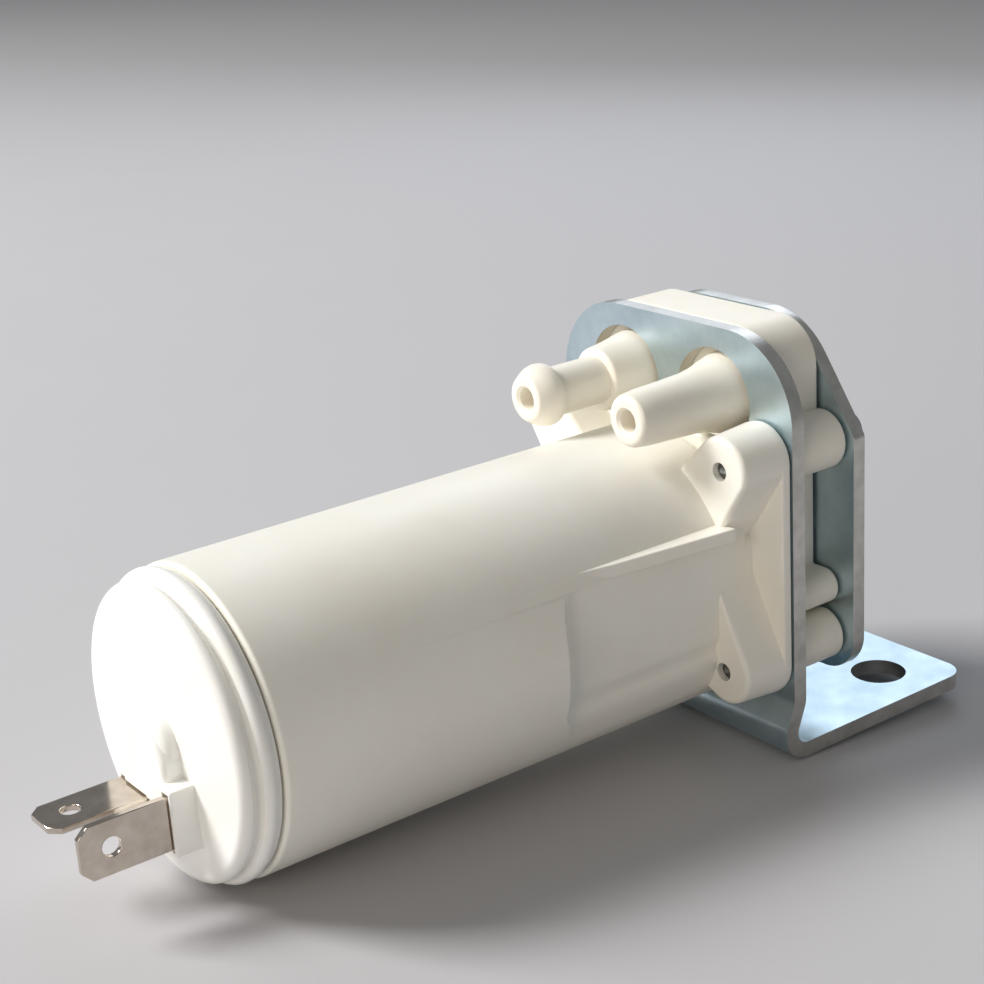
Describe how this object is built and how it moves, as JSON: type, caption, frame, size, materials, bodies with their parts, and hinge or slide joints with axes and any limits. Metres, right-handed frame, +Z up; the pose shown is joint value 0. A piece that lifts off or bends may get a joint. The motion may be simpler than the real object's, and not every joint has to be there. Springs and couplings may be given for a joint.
{
  "type": "electric gear pump",
  "caption": "Small electric gear pump: tubular motor with blade terminals, pump body between steel plates with hose ports, on a bent mounting foot.",
  "frame": {"origin": "middle of the bounding box in plan, on the underside of the bracket foot", "axes": "+Z up; +X along the motor axis from the blade terminals to the pump plates; the barbed port is on the +Y side"},
  "size_m": [0.1198, 0.0416, 0.0534],
  "materials": {
    "motor_housing": "off-white moulded nylon, soft sheen",
    "end_cap": "off-white moulded nylon, soft sheen",
    "pump_body": "cream moulded nylon",
    "mounting_bracket": "zinc-plated sheet steel",
    "back_plate": "zinc-plated sheet steel",
    "terminal_blade_near": "tinned brass strip",
    "terminal_blade_far": "tinned brass strip",
    "flux_ring": "plain steel",
    "magnet_upper": "sintered ferrite",
    "magnet_lower": "sintered ferrite",
    "rear_bearing": "sintered bronze",
    "front_bearing": "sintered bronze",
    "brush_plate": "phenolic board",
    "brush_near": "carbon",
    "brush_far": "carbon",
    "brush_arm_near": "phosphor bronze strip",
    "brush_arm_far": "phosphor bronze strip",
    "motor_shaft": "ground steel",
    "armature_core": "stacked steel laminations",
    "armature_windings": "enamelled copper wire",
    "commutator": "copper",
    "drive_gear": "acetal",
    "idler_gear": "acetal",
    "idler_pin": "ground steel",
    "shaft_seal": "nitrile rubber",
    "cover_gasket": "nitrile rubber",
    "wear_plate": "ground steel",
    "screw_near_upper": "zinc-plated steel",
    "screw_near_lower": "zinc-plated steel",
    "screw_far_upper": "zinc-plated steel",
    "screw_far_lower": "zinc-plated steel"
  },
  "bodies": {
    "pump": {"motor_housing": "motor_housing", "end_cap": "end_cap", "pump_body": "pump_body", "mounting_bracket": "mounting_bracket", "back_plate": "back_plate", "terminal_blade_near": "terminal_blade_near", "terminal_blade_far": "terminal_blade_far", "flux_ring": "flux_ring", "magnet_upper": "magnet_upper", "magnet_lower": "magnet_lower", "rear_bearing": "rear_bearing", "front_bearing": "front_bearing", "brush_plate": "brush_plate", "brush_near": "brush_near", "brush_far": "brush_far", "brush_arm_near": "brush_arm_near", "brush_arm_far": "brush_arm_far", "idler_pin": "idler_pin", "shaft_seal": "shaft_seal", "cover_gasket": "cover_gasket", "wear_plate": "wear_plate", "screw_near_upper": "screw_near_upper", "screw_near_lower": "screw_near_lower", "screw_far_upper": "screw_far_upper", "screw_far_lower": "screw_far_lower"},
    "rotor": {"motor_shaft": "motor_shaft", "armature_core": "armature_core", "armature_windings": "armature_windings", "commutator": "commutator", "drive_gear": "drive_gear"},
    "idler": {"idler_gear": "idler_gear"}
  },
  "joints": [
    {"name": "rotor_spin", "type": "hinge", "parent": "pump", "child": "rotor", "pos_m": [0, 0, 0.0223], "axis": [1, 0, 0], "continuous": true},
    {"name": "idler_spin", "type": "hinge", "parent": "pump", "child": "idler", "pos_m": [0.03392, 0, 0.0343], "axis": [1, 0, 0], "continuous": true}
  ],
  "couplings": [
    {"joint": "idler_spin", "follows": "rotor_spin", "ratio": -1}
  ]
}
